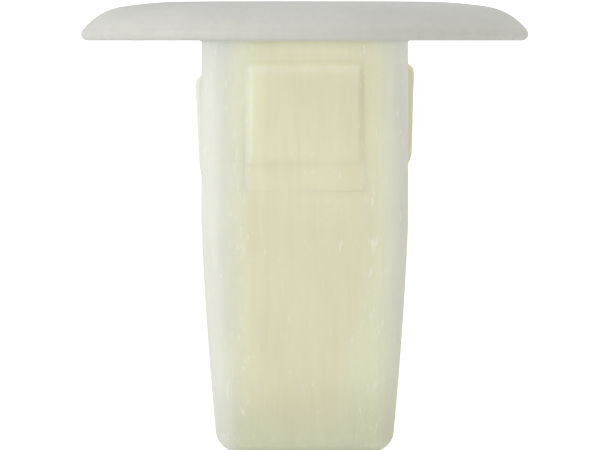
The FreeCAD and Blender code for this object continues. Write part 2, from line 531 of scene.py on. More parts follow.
@dataclass(frozen=True)
class NylonFinish:
    """One zone's finish of the same translucent natural nylon.

    Args:
        name: The material's name.
        slot: The record's material slot. It is not used.
        body: Colour of a plain wall.
        hollow: Colour where the screw hole lies behind the wall.
        solid: Colour of the thick corners.
        hollow_half_width: Half the width over which the hollow shows, in millimetres.
        hollow_strength: How far the hollow's colour shows.
        solid_start: Where the corners' colour starts, in millimetres from the middle.
        solid_end: Where it is full.
        solid_strength: How far the corners' colour shows.
        thin_wall_shade: Painted shade on the +X side, away from the key lamp.
        rim_shade: Painted shade along the flange's lower rim.
        roughness: The shine's mean roughness.
        drag_lines: Strength of the lines along the draw direction.
        specks: Strength of the scattered specks.
        speck_highlight_colour: Their colour, lighter than the nylon: real specks with a painted
            highlight.
        speck_highlight_show: How far that painted highlight shows.
        refraction: The nylon's index of refraction.
        scatter: How much light goes through the surface, from 0 to 1.
        scatter_depth: How far that light travels, in millimetres.
        scatter_spread: Shares of that depth for red, green and blue.
        painted_glow_colour: Colour and strength of the painted glow, emission that stands in for
            the light coming through a thin wall.
    """

    name: str
    slot: str
    body: Colour
    hollow: Colour
    solid: Colour
    hollow_half_width: float = 2.45
    hollow_strength: float = 1.0
    solid_start: float = 2.2
    solid_end: float = 3.6
    solid_strength: float = 1.0
    thin_wall_shade: float = 0.06
    rim_shade: float = 0.0
    roughness: float = 0.42
    drag_lines: float = 1.0
    specks: float = 1.0
    speck_highlight_colour: Colour = (0.93, 0.93, 0.86)
    speck_highlight_show: float = 0.42
    refraction: float = 1.5
    scatter: float = 0.8
    scatter_depth: float = 1.1
    scatter_spread: Triple = (1.0, 0.95, 0.7)
    painted_glow_colour: Colour = (0.195, 0.195, 0.185)

    def material(
        self, tone_group: bpy.types.NodeTree, skin_group: bpy.types.NodeTree
    ) -> bpy.types.Material:
        """Builds the material.

        Args:
            tone_group: The shared group for its colour.
            skin_group: The shared group for its fine relief.

        Returns:
            The material.
        """
        material = bpy.data.materials.new(self.name)
        material.use_nodes = True
        graph = Graph(material.node_tree)
        output = graph.add("ShaderNodeOutputMaterial")
        shader = graph.add("ShaderNodeBsdfPrincipled")
        tone = graph.add("ShaderNodeGroup", node_tree=tone_group)
        skin = graph.add("ShaderNodeGroup", node_tree=skin_group)
        graph.fill(
            tone,
            Body=(*self.body, 1.0),
            Hollow=(*self.hollow, 1.0),
            Solid=(*self.solid, 1.0),
            Hollow_Half_Width=self.hollow_half_width,
            Hollow_Strength=self.hollow_strength,
            Solid_Start=self.solid_start,
            Solid_End=self.solid_end,
            Solid_Strength=self.solid_strength,
            Thin_Wall_Shade=self.thin_wall_shade,
            Rim_Shade=self.rim_shade,
        )
        graph.fill(
            skin,
            Drag_Lines=self.drag_lines,
            Speck_Amount=self.specks,
            Base_Roughness=self.roughness,
        )
        # The specks are real bumps; their lighter colour is a painted highlight on them.
        specked = graph.term(skin.outputs["Specks"]) * self.speck_highlight_show
        speck_highlighted = graph.blend(specked, tone.outputs["Colour"], (*self.speck_highlight_colour, 1.0))
        bump = graph.add("ShaderNodeBump")
        graph.fill(bump, Height=skin.outputs["Height"], Distance=MM, Strength=1.0)
        # Painted light: emission where the painted glow mark is set, standing in for light
        # through the nylon.
        glowing = graph.add("ShaderNodeAttribute", attribute_name=PAINTED_GLOW_MARK)
        through = graph.add("ShaderNodeVectorMath", operation="SCALE")
        through.inputs[0].default_value = self.painted_glow_colour
        graph.feed(through.inputs["Scale"], glowing.outputs["Fac"])
        graph.fill(
            shader,
            Emission_Color=through.outputs[0],
            Emission_Strength=1.0,
            Base_Color=speck_highlighted,
            Roughness=skin.outputs["Roughness"],
            Normal=bump.outputs["Normal"],
            IOR=self.refraction,
            Subsurface_Weight=self.scatter,
            Subsurface_Radius=self.scatter_spread,
            Subsurface_Scale=self.scatter_depth * MM,
        )
        graph.feed(output.inputs["Surface"], shader.outputs["BSDF"])
        return material


FLANGE_NYLON = NylonFinish(
    name="flange_nylon",
    slot="nylon_flange",
    body=(0.64, 0.64, 0.605),
    hollow=(0.64, 0.635, 0.59),
    solid=(0.64, 0.64, 0.61),
    hollow_strength=0.0,
    solid_strength=0.0,
    thin_wall_shade=0.0,
    rim_shade=0.105,
    roughness=0.52,
    drag_lines=0.25,
    specks=0.05,
    painted_glow_colour=(0.185, 0.195, 0.24),
)
SHANK_NYLON = NylonFinish(
    name="shank_nylon",
    slot="nylon_shank",
    body=(0.80, 0.80, 0.60),
    hollow=(0.79, 0.767, 0.555),
    solid=(0.755, 0.765, 0.685),
    thin_wall_shade=0.035,
)
LUG_NYLON = NylonFinish(
    name="lug_nylon",
    slot="nylon_lug",
    body=(0.80, 0.80, 0.60),
    hollow=(0.79, 0.767, 0.56),
    solid=(0.765, 0.775, 0.68),
    hollow_half_width=2.2,
    solid_start=2.0,
    solid_end=2.6,
    thin_wall_shade=0.1,
    drag_lines=0.8,
    specks=0.8,
)


# -------------------------------------------------------------- mesh helpers


def span(node: str, direction: Vector) -> Range:
    """How far a CAD node reaches along one of the frame's axes, in metres.

    Args:
        node: The node's name.
        direction: The axis.

    Returns:
        The lowest and the highest place on it.
    """
    low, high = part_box(node)
    ends = (low.dot(direction), high.dot(direction))
    return min(ends), max(ends)


def new_object(name: str, mesh: bpy.types.Mesh) -> bpy.types.Object:
    """Puts a mesh into the scene at the origin.

    Args:
        name: The object's name.
        mesh: Its mesh.

    Returns:
        The new object.
    """
    made = bpy.data.objects.new(name, mesh)
    bpy.context.scene.collection.objects.link(made)
    return made


def loft(name: str, rings: Sequence[Ring], closed: bool) -> bpy.types.Mesh:
    """Joins rings of equal count with quads.

    Args:
        name: The mesh's name.
        rings: The rings, in order.
        closed: True joins the last ring to the first; False caps both ends.

    Returns:
        A closed mesh whose normals point outwards.
    """
    build = bmesh.new()
    rows = [[build.verts.new(point) for point in ring] for ring in rings]
    pairs = list(zip(rows, rows[1:] + rows[:1])) if closed else list(zip(rows, rows[1:]))
    for lower, upper in pairs:
        for i in range(len(lower)):
            j = (i + 1) % len(lower)
            build.faces.new((lower[i], lower[j], upper[j], upper[i]))
    if not closed:
        build.faces.new(rows[0])
        build.faces.new(rows[-1])
    bmesh.ops.recalc_face_normals(build, faces=build.faces)
    mesh = bpy.data.meshes.new(name)
    build.to_mesh(mesh)
    build.free()
    return mesh


def lathe(name: str, profile: Outline, segments: int) -> bpy.types.Mesh:
    """Turns a closed outline of radius and height pairs, in millimetres, about the Z axis.

    Args:
        name: The mesh's name.
        profile: The outline.
        segments: Steps round the axis.

    Returns:
        A closed mesh whose normals point outwards.
    """
    rings = []
    for index in range(segments):
        angle = 2 * math.pi * index / segments
        aim = Vector((math.cos(angle), math.sin(angle), 0))
        rings.append([(aim * radius + Vector((0, 0, height))) * MM for radius, height in profile])
    return loft(name, rings, closed=True)


def arc(x: float, z: float, radius: float, start: float, end: float, steps: int) -> Outline:
    """Points along an arc in the outline's plane, both ends included."""
    angles = [start + (end - start) * i / steps for i in range(steps + 1)]
    return [(x + radius * math.cos(a), z + radius * math.sin(a)) for a in angles]


def block(name: str, low: Vector, high: Vector) -> bpy.types.Mesh:
    """A box between two corners, as a cutter.

    Args:
        name: The mesh's name.
        low: The lowest corner.
        high: The highest corner.

    Returns:
        The box.
    """
    flat = [(low.x, low.y), (high.x, low.y), (high.x, high.y), (low.x, high.y)]
    rings = [[Vector((x, y, z)) for x, y in flat] for z in (low.z, high.z)]
    return loft(name, rings, closed=False)


def settle(made: bpy.types.Object) -> None:
    """Turns an object's modifiers into plain mesh.

    Args:
        made: The object.
    """
    bpy.context.view_layer.update()
    scene_state = bpy.context.evaluated_depsgraph_get()
    mesh = bpy.data.meshes.new_from_object(made.evaluated_get(scene_state), depsgraph=scene_state)
    made.modifiers.clear()
    made.data = mesh


def carve(made: bpy.types.Object, cutters: Sequence[bpy.types.Mesh]) -> None:
    """Takes each cutter's space out of an object.

    Args:
        made: The object.
        cutters: The cutters' meshes.
    """
    for mesh in cutters:
        cutter = new_object("cutter", mesh)
        step = made.modifiers.new("carve", "BOOLEAN")
        step.operation = "DIFFERENCE"
        step.solver = "EXACT"
        step.object = cutter
        settle(made)
        bpy.data.objects.remove(cutter)


def soften(
    made: bpy.types.Object,
    width: float,
    angle: float,
    keep_sharp: Optional[Callable[[Vector, Vector], bool]] = None,
    steps: int = 3,
) -> None:
    """Rounds the sharp edges a little, as a mould leaves them, and evens the shading.

    Args:
        made: The object.
        width: The rounding's width in millimetres.
        angle: The least angle between two faces that counts as sharp, in degrees.
        keep_sharp: A test of an edge's two ends that says it stays as it is.
        steps: Faces across the rounding.
    """
    mesh = made.data
    build = bmesh.new()
    build.from_mesh(mesh)
    bmesh.ops.remove_doubles(build, verts=build.verts, dist=WELD)
    bmesh.ops.dissolve_degenerate(build, edges=build.edges, dist=WELD)
    weight = build.edges.layers.float.new("bevel_weight_edge")
    for edge in build.edges:
        if len(edge.link_faces) != 2 or edge.calc_face_angle(0.0) < math.radians(angle):
            continue
        if keep_sharp is not None and keep_sharp(edge.verts[0].co, edge.verts[1].co):
            continue
        edge[weight] = 1.0
    build.to_mesh(mesh)
    build.free()
    rounding = made.modifiers.new("soften", "BEVEL")
    rounding.limit_method = "WEIGHT"
    rounding.width = width * MM
    rounding.segments = steps
    rounding.harden_normals = False
    for face in mesh.polygons:
        face.use_smooth = True
    even = made.modifiers.new("even", "WEIGHTED_NORMAL")
    even.keep_sharp = True
    settle(made)


def mark_painted_glow(made: bpy.types.Object, amount: Callable[[Vector, Vector], float]) -> None:
    """Marks the faces that get a painted glow: emission that stands in for the light coming
    through the nylon behind them.

    Args:
        made: The object.
        amount: The glow's strength for a face's centre and normal.
    """
    mark = made.data.attributes.new(PAINTED_GLOW_MARK, "FLOAT", "FACE")
    for face in made.data.polygons:
        mark.data[face.index].value = float(amount(face.center, face.normal))


def dress(made: bpy.types.Object, finish: NylonFinish) -> None:
    """Gives a piece its finish.

    Args:
        made: The piece.
        finish: Its finish.
    """
    made.data.materials.clear()
    made.data.materials.append(bpy.data.materials[finish.name])


# -------------------------------------------------------------- the moulding


@dataclass(frozen=True)
class Flange:
    """The round domed disc with the screw's countersunk entry.

    Args:
        radius: Out to the rim.
        thickness: Height of the flat top.
        entry_radius: The screw entry's wall.
        countersink_radius: The countersink's mouth.
        countersink_depth: Its depth.
        margin: Width of the rounded margin between the flat top and the rim.
        crown_radius: The shallow arc next to the flat top.
        edge_radius: The arc towards the rim.
        nose_radius: The arc under the rim.
        underside_rings: Radii that divide the flat underside, for its glow.
        root_glow: How strongly the underside glows round the shank.
        rim_glow: How strongly it glows at the rim.
        level: How much of its normal points down on a face of the underside.
        edge_round: Rounding of the sharp edges.
        sharp_angle: The least angle that counts as sharp, in degrees.
        crown_steps: Faces along the crown's arc.
        edge_steps: Faces along the edge's arc.
        nose_steps: Faces along the nose's arc.
        segments: Steps round the disc.
    """

    radius: float
    thickness: float
    entry_radius: float
    countersink_radius: float = 3.2
    countersink_depth: float = 0.6
    margin: float = 4.1
    crown_radius: float = 17.0
    edge_radius: float = 2.4
    nose_radius: float = 0.26
    underside_rings: tuple[float, ...] = (4.0, 4.6, 5.2, 5.8, 6.4, 7.0, 7.6)
    root_glow: float = 2.7
    rim_glow: float = 1.6
    level: float = 0.999
    edge_round: float = 0.05
    sharp_angle: float = 30.0
    crown_steps: int = 10
    edge_steps: int = 20
    nose_steps: int = 12
    segments: int = 256

    def outline(self) -> Outline:
        """The half section, whose arcs touch without corners.

        Returns:
            The outline, as radius and height pairs in millimetres.
        """
        crown = (self.radius - self.margin, self.thickness - self.crown_radius)
        nose = (self.radius - self.nose_radius, self.nose_radius)
        crown_reach = self.crown_radius - self.edge_radius
        nose_reach = self.edge_radius - self.nose_radius
        apart = math.dist(crown, nose)
        along = (crown_reach**2 - nose_reach**2 + apart**2) / (2 * apart)
        aside = math.sqrt(crown_reach**2 - along**2)
        unit = ((nose[0] - crown[0]) / apart, (nose[1] - crown[1]) / apart)
        edge = (
            crown[0] + along * unit[0] - aside * unit[1],
            crown[1] + along * unit[1] + aside * unit[0],
        )
        crown_end = math.atan2(edge[1] - crown[1], edge[0] - crown[0])
        edge_end = math.atan2(nose[1] - edge[1], nose[0] - edge[0])
        return [
            (self.entry_radius, 0.0),
            (self.entry_radius, self.thickness - self.countersink_depth),
            (self.countersink_radius, self.thickness),
            *arc(*crown, self.crown_radius, math.pi / 2, crown_end, self.crown_steps),
            *arc(*edge, self.edge_radius, crown_end, edge_end, self.edge_steps)[1:],
            *arc(*nose, self.nose_radius, edge_end, -math.pi / 2, self.nose_steps)[1:],
            *((ring, 0.0) for ring in reversed(self.underside_rings)),
        ]

    def glow(self, centre: Vector, normal: Vector) -> float:
        """The painted glow, emission standing in for light through the disc: strongest round the
        shank, weaker towards the rim.

        Args:
            centre: A face's centre.
            normal: Its normal.

        Returns:
            The glow's strength.
        """
        if normal.z > -self.level:
            return 0.0
        inner, outer = self.underside_rings[0], self.underside_rings[-1]
        share = (math.hypot(centre.x, centre.y) / MM - inner) / (outer - inner)
        share = min(1.0, max(0.0, share))
        return self.root_glow + (self.rim_glow - self.root_glow) * share

    def build(self) -> bpy.types.Object:
        """Makes the disc and lets it ride on the moulding.

        Returns:
            The piece.
        """
        made = new_object("flange_disc", lathe("flange_disc", self.outline(), self.segments))
        soften(made, self.edge_round, self.sharp_angle)
        mark_painted_glow(made, self.glow)
        dress(made, FLANGE_NYLON)
        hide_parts("flange")
        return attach(made, "moulding")


@dataclass(frozen=True)
class Shank:
    """The square post: neck, four corner posts, barrel and tip, as one hollow piece.

    Args:
        half: Half the width where the sides are parallel.
        length: From the flange's underside to the tip.
        window_top: Depth where the lug windows start.
        window_bottom: Depth where they end.
        window_half: Half a window's width.
        entry_radius: The screw entry's wall.
        pilot_radius: The pilot hole's wall.
        pilot_top: Depth where the straight pilot starts.
        pilot_bottom: Depth where it ends.
        floor_depth: Depth of the hole's end.
        hole_end_radius: The hole's radius at its end.
        hole_above: How far the hole's cutter reaches above the hidden top.
        corner_radius: Rounding of the four upright corners.
        parallel_length: Depth where the sides start to draw in.
        taper_inset: How far each side draws in by the tip.
        taper_bow: How far the drawn-in side bows outwards.
        tip_edge_radius: Rounding of the tip's edge.
        root_fillet: Fillet under the flange.
        hidden_top: How far the post reaches up inside the flange.
        edge_round: Rounding of the windows' edges.
        sharp_angle: The least angle that counts as sharp, in degrees.
        on_wall: How near a window's wall a face's centre lies when it is part of the wall.
        slack: Allowance for depths and widths in a test.
        corner_steps: Faces round an upright corner.
        root_steps: Faces along the fillet.
        taper_steps: Faces along the drawn-in side.
        tip_steps: Faces along the tip's rounding.
        hole_segments: Faces round the hole.
        window_glow: How strongly the windows' walls glow.
        tip_glow: How strongly the tip's rounding glows, at its flat end.
        tip_glow_lead: How far above the rounding that glow starts.
    """

    half: float
    length: float
    window_top: float
    window_bottom: float
    window_half: float
    entry_radius: float
    pilot_radius: float
    pilot_top: float
    pilot_bottom: float
    floor_depth: float
    hole_end_radius: float = 1.6
    hole_above: float = 1.0
    corner_radius: float = 0.8
    parallel_length: float = 6.9
    taper_inset: float = 0.61
    taper_bow: float = 0.0625
    tip_edge_radius: float = 0.7
    root_fillet: float = 0.07
    hidden_top: float = 0.35
    edge_round: float = 0.006
    sharp_angle: float = 32.0
    on_wall: float = 0.002
    slack: float = 0.01
    corner_steps: int = 10
    root_steps: int = 6
    taper_steps: int = 24
    tip_steps: int = 10
    hole_segments: int = 96
    window_glow: float = 1.06
    tip_glow: float = 0.55
    tip_glow_lead: float = 0.1

    def half_at(self, depth: float) -> float:
        """Half the width at a depth: parallel, then drawn in along a slight bow."""
        share = max(0.0, (depth - self.parallel_length) / (self.length - self.parallel_length))
        return self.half - self.taper_inset * share + 4 * self.taper_bow * share * (1 - share)

    def ring(self, half: float, corner: float, depth: float) -> Ring:
        """A square ring with rounded corners, level at a depth.

        Args:
            half: Half its width.
            corner: Its corners' radius.
            depth: Its depth.

        Returns:
            The ring's points, in metres.
        """
        points = []
        for quarter in range(4):
            for step in range(self.corner_steps + 1):
                angle = math.pi / 2 * (quarter + step / self.corner_steps)
                centre = math.pi / 2 * quarter + math.pi / 4
                reach = (half - corner) * math.sqrt(2)
                x = reach * math.cos(centre) + corner * math.cos(angle)
                y = reach * math.sin(centre) + corner * math.sin(angle)
                points.append(Vector((x, y, -depth)) * MM)
        return points

    def rings(self) -> list[Ring]:
        """The outside from inside the flange down to the tip's flat end.

        Returns:
            The rings, from the top down.
        """
        found = [self.ring(self.half + self.root_fillet, self.corner_radius, -self.hidden_top)]
        for step in range(self.root_steps + 1):
            angle = math.pi / 2 * step / self.root_steps
            flare = self.root_fillet * (1 - math.sin(angle))
            depth = self.root_fillet * (1 - math.cos(angle))
            found.append(self.ring(self.half + flare, self.corner_radius + flare, depth))
        taper_end = self.length - self.tip_edge_radius
        taper_length = taper_end - self.parallel_length
        for step in range(self.taper_steps + 1):
            depth = self.parallel_length + taper_length * step / self.taper_steps
            found.append(self.ring(self.half_at(depth), self.corner_radius, depth))
        for step in range(1, self.tip_steps + 1):
            angle = math.pi / 2 * step / self.tip_steps
            inset = self.tip_edge_radius * (1 - math.cos(angle))
            depth = taper_end + self.tip_edge_radius * math.sin(angle)
            half = self.half_at(depth) - inset
            found.append(self.ring(half, self.corner_radius - inset, depth))
        return found

    def cutters(self) -> list[bpy.types.Mesh]:
        """The windows, as two crossing bars, and the stepped screw hole.

        Returns:
            The cutters' meshes.
        """
        side, far = self.window_half * MM, self.half * 2 * MM
        low, high = -self.window_bottom * MM, -self.window_top * MM
        hole = [
            (self.entry_radius, self.hidden_top + self.hole_above),
            (self.entry_radius, -self.window_bottom),
            (self.pilot_radius, -self.pilot_top),
            (self.pilot_radius, -self.pilot_bottom),
            (self.hole_end_radius, -self.floor_depth),
        ]
        count = self.hole_segments
        angles = [2 * math.pi * (index + 0.5) / count for index in range(count)]
        rings = [
            [Vector((radius * math.cos(a), radius * math.sin(a), z)) * MM for a in angles]
            for radius, z in hole
        ]
        return [
            block("windows_x", Vector((-far, -side, low)), Vector((far, side, high))),
            block("windows_y", Vector((-side, -far, low)), Vector((side, far, high))),
            loft("screw_hole", rings, closed=False),
        ]

    def in_window(self, centre: Vector, normal: Vector) -> bool:
        """Tells the walls of a lug window: its two sides, its top and its sill.

        Args:
            centre: A face's centre.
            normal: Its normal.

        Returns:
            Whether the face is such a wall.
        """
        if not self.window_top - self.slack < -centre.z / MM < self.window_bottom + self.slack:
            return False
        side, near = self.window_half * MM, self.on_wall * MM
        across = abs(normal.x) > SQUARE_ON and abs(abs(centre.x) - side) < near
        along = abs(normal.y) > SQUARE_ON and abs(abs(centre.y) - side) < near
        return across or along or abs(normal.z) > SQUARE_ON

    def on_sill(self, first: Vector, second: Vector) -> bool:
        """Tells a window's lower outer edge, where the tongue grows out of the wall.

        Args:
            first: One end of an edge.
            second: Its other end.

        Returns:
            Whether the edge is such an edge.
        """
        sill = -self.window_bottom * MM
        level = abs(first.z - sill) < HAIR and abs(second.z - sill) < HAIR
        return level and max(abs(first.x), abs(first.y)) > (self.half - self.slack) * MM

    def glow(self, centre: Vector, normal: Vector) -> float:
        """The painted glow, emission standing in for light through the nylon: full in the
        windows, weaker round the tip's edge.

        Args:
            centre: A face's centre.
            normal: Its normal.

        Returns:
            The glow's strength.
        """
        if self.in_window(centre, normal):
            return self.window_glow
        below = -centre.z / MM > self.length - self.tip_edge_radius - self.tip_glow_lead
        return self.tip_glow * min(0.0, normal.z) ** 2 if below else 0.0

    def build(self) -> bpy.types.Object:
        """Makes the post, opens its windows and its hole, and softens its edges.

        Returns:
            The piece.
        """
        made = new_object("moulded_shank", loft("moulded_shank", self.rings(), closed=False))
        carve(made, self.cutters())
        soften(made, self.edge_round, self.sharp_angle, self.on_sill)
        mark_painted_glow(made, self.glow)
        dress(made, SHANK_NYLON)
        posts = [name for name in frame["nodes"] if name.startswith("corner_post_")]
        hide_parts("neck", "barrel", "tip", *posts)
        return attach(made, "moulding")


# ------------------------------------------------------------- the snap arms


class Side(Enum):
    """The shank's four sides, each with its turn about the screw's axis in degrees."""

    FRONT = 0
    RIGHT = 90
    BACK = 180
    LEFT = 270

    @property
    def label(self) -> str:
        """The side's name as the CAD nodes write it."""
        return self.name.lower()

    @property
    def turn(self) -> float:
        """The side's turn in radians."""
        return math.radians(self.value)

    @property
    def outward(self) -> Vector:
        """The direction that the side faces."""
        found = Matrix.Rotation(self.turn, 3, "Z") @ Vector((0.0, -1.0, 0.0))
        return Vector([float(round(part)) for part in found])

    @property
    def sideways(self) -> Vector:
        """The direction to the right along the side."""
        found = Matrix.Rotation(self.turn, 3, "Z") @ Vector((1.0, 0.0, 0.0))
        return Vector([float(round(part)) for part in found])


# How proud each lug stands above its chamfer, in millimetres: the upper pair, then the lower.
FOOT_PROUD = {Side.FRONT: 0.14, Side.RIGHT: 0.14, Side.BACK: 0.08, Side.LEFT: 0.08}


def snap_arm_tree() -> bpy.types.NodeTree:
    """Geometry nodes for a snap arm: a tongue on a thin web, with a raised lug on its face.

    A gridded block is put in place in front of the axis, its outer face is raised to the
    lug's relief, its inner face is drawn back over the web, and it is turned to its side.
    All lengths are in metres.

    Returns:
        The tree, whose inputs are the arm's sizes.
    """
    length = "NodeSocketFloat"
    names = (
        "Half Width", "Face", "Inner", "Top", "Bottom", "Web Top", "Web Inner", "Lug Top",
        "Lug Height", "Proud Top", "Proud Foot", "Shoulder", "Chamfer", "Outline Radius",
        "Outline Fade", "Draft", "Edge Round", "Web Fade Below", "Web Fade Above", "Turn",
    )  # fmt: skip
    inputs = {"Geometry": ("NodeSocketGeometry", None)}
    inputs |= {name: (length, 0.0) for name in names}
    inputs |= {
        "Columns": ("NodeSocketInt", 90),
        "Rows": ("NodeSocketInt", 110),
        "Layers": ("NodeSocketInt", 10),
        "Finish": ("NodeSocketMaterial", None),
    }
    graph, given, sink = new_group(
        "snap_arm", "GeometryNodeTree", inputs, {"Geometry": "NodeSocketGeometry"}
    )
    size = {name: graph.term(given[name]) for name in names}

    extent = graph.add("ShaderNodeCombineXYZ")
    graph.fill(
        extent,
        X=size["Half Width"] * 2.0,
        Y=size["Face"] - size["Inner"],
        Z=size["Top"] - size["Bottom"],
    )
    cube = graph.add("GeometryNodeMeshCube")
    graph.fill(
        cube,
        Size=extent.outputs[0],
        Vertices_X=given["Columns"],
        Vertices_Y=given["Layers"],
        Vertices_Z=given["Rows"],
    )
    centre = graph.add("ShaderNodeCombineXYZ")
    graph.fill(
        centre,
        Y=0.0 - (size["Face"] + size["Inner"]) * 0.5,
        Z=(size["Top"] + size["Bottom"]) * 0.5,
    )
    placed = graph.add("GeometryNodeSetPosition")
    graph.fill(placed, Geometry=cube.outputs["Mesh"], Offset=centre.outputs[0])

    x, y, z = graph.parts(graph.add("GeometryNodeInputPosition").outputs[0])
    on_face = graph.math("LESS_THAN", y, 0.0 - size["Face"] + HAIR)
    on_inner = graph.math("GREATER_THAN", y, 0.0 - size["Inner"] - HAIR)

    below = size["Lug Top"] - z
    height = size["Lug Height"]
    rise = graph.round_over(graph.share(below, 0.0, size["Shoulder"]))
    lean = graph.share(below, size["Shoulder"], height - size["Chamfer"])
    proud = size["Proud Top"] + (size["Proud Foot"] - size["Proud Top"]) * lean
    fall = graph.math("DIVIDE", height - below, size["Chamfer"], clamp=True)

    corner = size["Outline Radius"]
    beyond_x = graph.larger(abs(x) - size["Half Width"] + corner, 0.0)
    middle = size["Lug Top"] - height * 0.5
    beyond_z = graph.larger(abs(z - middle) - height * 0.5 + corner, 0.0)
    inside = corner - graph.math("SQRT", beyond_x * beyond_x + beyond_z * beyond_z)
    outline = graph.math("DIVIDE", inside, size["Outline Fade"], clamp=True)
    slope = graph.math("DIVIDE", size["Half Width"] - abs(x), size["Draft"], clamp=True)
    relief = proud * rise * fall * slope * outline

    to_edge = graph.smaller(size["Half Width"] - abs(x), size["Top"] - z)
    fresh = graph.math("DIVIDE", to_edge, size["Edge Round"], clamp=True)
    worn = (1.0 - graph.round_over(fresh)) * size["Edge Round"]
    fade = (size["Web Top"] - size["Web Fade Below"], size["Web Top"] + size["Web Fade Above"])
    web = 1.0 - graph.smooth(z, *fade)
    drawn = (size["Web Inner"] - size["Inner"]) * web
    moved = graph.add("ShaderNodeCombineXYZ")
    graph.fill(moved, X=x, Y=y - on_face * (relief - worn) - on_inner * drawn, Z=z)
    shaped = graph.add("GeometryNodeSetPosition")
    graph.fill(shaped, Geometry=placed.outputs[0], Position=moved.outputs[0])

    spin = graph.add("ShaderNodeCombineXYZ")
    graph.fill(spin, Z=given["Turn"])
    turned = graph.add("GeometryNodeTransform")
    graph.fill(turned, Geometry=shaped.outputs[0], Rotation=spin.outputs[0])
    real = graph.add("GeometryNodeRealizeInstances")
    graph.fill(real, Geometry=turned.outputs[0])
    painted = graph.add("GeometryNodeSetMaterial")
    graph.fill(painted, Geometry=real.outputs[0], Material=given["Finish"])
    graph.feed(sink.inputs["Geometry"], painted.outputs[0])
    return graph.tree


@dataclass(frozen=True)
class SnapArm:
    """One side's tongue with its lug and living hinge, bending as one piece.

    Every length is in metres, and is the tree's input of the same name.

    Args:
        side: The side that it faces.
        half_width: Half the tongue's width.
        face: The tongue's outer face, out from the axis.
        inner: Its inner face.
        top: Height of its free end.
        bottom: Height where it grows out of the barrel.
        web_top: Height of the thin web's upper end.
        web_inner: The web's inner face, out from the axis.
        lug_top: Height of the lug's upper edge.
        lug_height: The lug's height.
        proud_top: How proud the lug stands at its upper edge.
        proud_foot: How proud it stands above its chamfer.
        shoulder: Height of the lug's rounded upper edge.
        chamfer: Height of the slope at its foot.
        outline_radius: Rounding of its corners, seen from its side.
        outline_fade: Width over which those corners sink in.
        draft: Width of the slopes at its two sides.
        edge_round: Rounding of the tongue's free edges.
        web_fade_below: How far below its upper end the web is at its thinnest.
        web_fade_above: How far above that end the tongue has its full thickness.
        slit_glow: How strongly the slits' walls glow.
        lug_glow: How strongly the lug's rounded upper edge glows.
        lug_glow_slope: How much of its normal points up on a face that glows in full.
        sharp_angle: The least angle, in degrees, that is shaded as an edge.
    """

    side: Side
    half_width: float
    face: float
    inner: float
    top: float
    bottom: float
    web_top: float
    web_inner: float
    lug_top: float
    lug_height: float
    proud_top: float
    proud_foot: float
    shoulder: float = 0.5 * MM
    chamfer: float = 0.46 * MM
    outline_radius: float = 0.35 * MM
    outline_fade: float = 0.2 * MM
    draft: float = 0.28 * MM
    edge_round: float = 0.006 * MM
    web_fade_below: float = 0.08 * MM
    web_fade_above: float = 0.05 * MM
    slit_glow: float = 1.0
    lug_glow: float = 0.16
    lug_glow_slope: float = 0.7
    sharp_angle: float = 38.0

    @classmethod
    def from_frame(cls, side: Side) -> "SnapArm":
        """Reads a side's tongue, lug and web from the CAD frame.

        Args:
            side: The side.

        Returns:
            The arm.
        """
        up, right = Vector((0.0, 0.0, 1.0)), Vector((1.0, 0.0, 0.0))
        inner, face = span("snap_tongue_" + side.label, side.outward)
        web_inner, _ = span("living_hinge_" + side.label, side.outward)
        web_bottom, web_top = span("living_hinge_" + side.label, up)
        lug_bottom, lug_top = span("snap_lug_" + side.label, up)
        _, crest = span("snap_lug_" + side.label, side.outward)
        window_side, _ = span("corner_post_back_right", right)
        window_top, _ = span("neck", up)
        return cls(
            side,
            half_width=window_side - SLIT_SIDE * MM,
            face=face,
            inner=inner,
            top=window_top - SLIT_TOP * MM,
            bottom=web_bottom,
            web_top=web_top,
            web_inner=web_inner,
            lug_top=lug_top,
            lug_height=lug_top - lug_bottom,
            proud_top=crest - face,
            proud_foot=FOOT_PROUD[side] * MM,
        )

    def inputs(self) -> dict[str, object]:
        """The tree's inputs by name: this arm's fields, its turn and its finish.

        Returns:
            The value for each input's name.
        """
        labels = {field.name.replace("_", " ").title(): field.name for field in fields(self)}
        given = {label: getattr(self, name) for label, name in labels.items()}
        return given | {"Turn": self.side.turn, "Finish": bpy.data.materials[LUG_NYLON.name]}

    def glow(self, _: Vector, normal: Vector) -> float:
        """The painted glow, emission standing in for light through the nylon: full on the slits'
        walls, weaker on the lug's top.

        Args:
            _: A face's centre, which it doesn't need.
            normal: The face's normal.

        Returns:
            The glow's strength.
        """
        if max(abs(normal.dot(self.side.sideways)), abs(normal.z)) > SQUARE_ON:
            return self.slit_glow
        return self.lug_glow * min(1.0, max(0.0, normal.z / self.lug_glow_slope))

    def build(self, tree: bpy.types.NodeTree) -> bpy.types.Object:
        """Grows the arm with its tree, in place on its side.

        Args:
            tree: The snap arm's geometry nodes.

        Returns:
            The piece.
        """
        label = self.side.label
        name = "snap_arm_" + label
        made = new_object(name, bpy.data.meshes.new(name))
        grower = made.modifiers.new("grow", "NODES")
        grower.node_group = tree
        given = self.inputs()
        for item in tree.interface.items_tree:
            if item.in_out == "INPUT" and item.name in given:
                grower[item.identifier] = given[item.name]
        settle(made)
        made.data.name = name
        for face in made.data.polygons:
            face.use_smooth = True
        made.data.set_sharp_from_angle(angle=math.radians(self.sharp_angle))
        mark_painted_glow(made, self.glow)
        dress(made, LUG_NYLON)
        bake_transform(made)
        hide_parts("snap_tongue_" + label, "snap_lug_" + label, "living_hinge_" + label)
        return made


# ---------------------------------------------------------------- the studio


@dataclass(frozen=True)
class Lamp:
    """A soft square lamp of white light.

    Args:
        name: Its name.
        place: Where it stands, in millimetres.
        width: Its width, in millimetres.
        watts: The strength of its light.
    """

    name: str
    place: Triple
    width: float
    watts: float


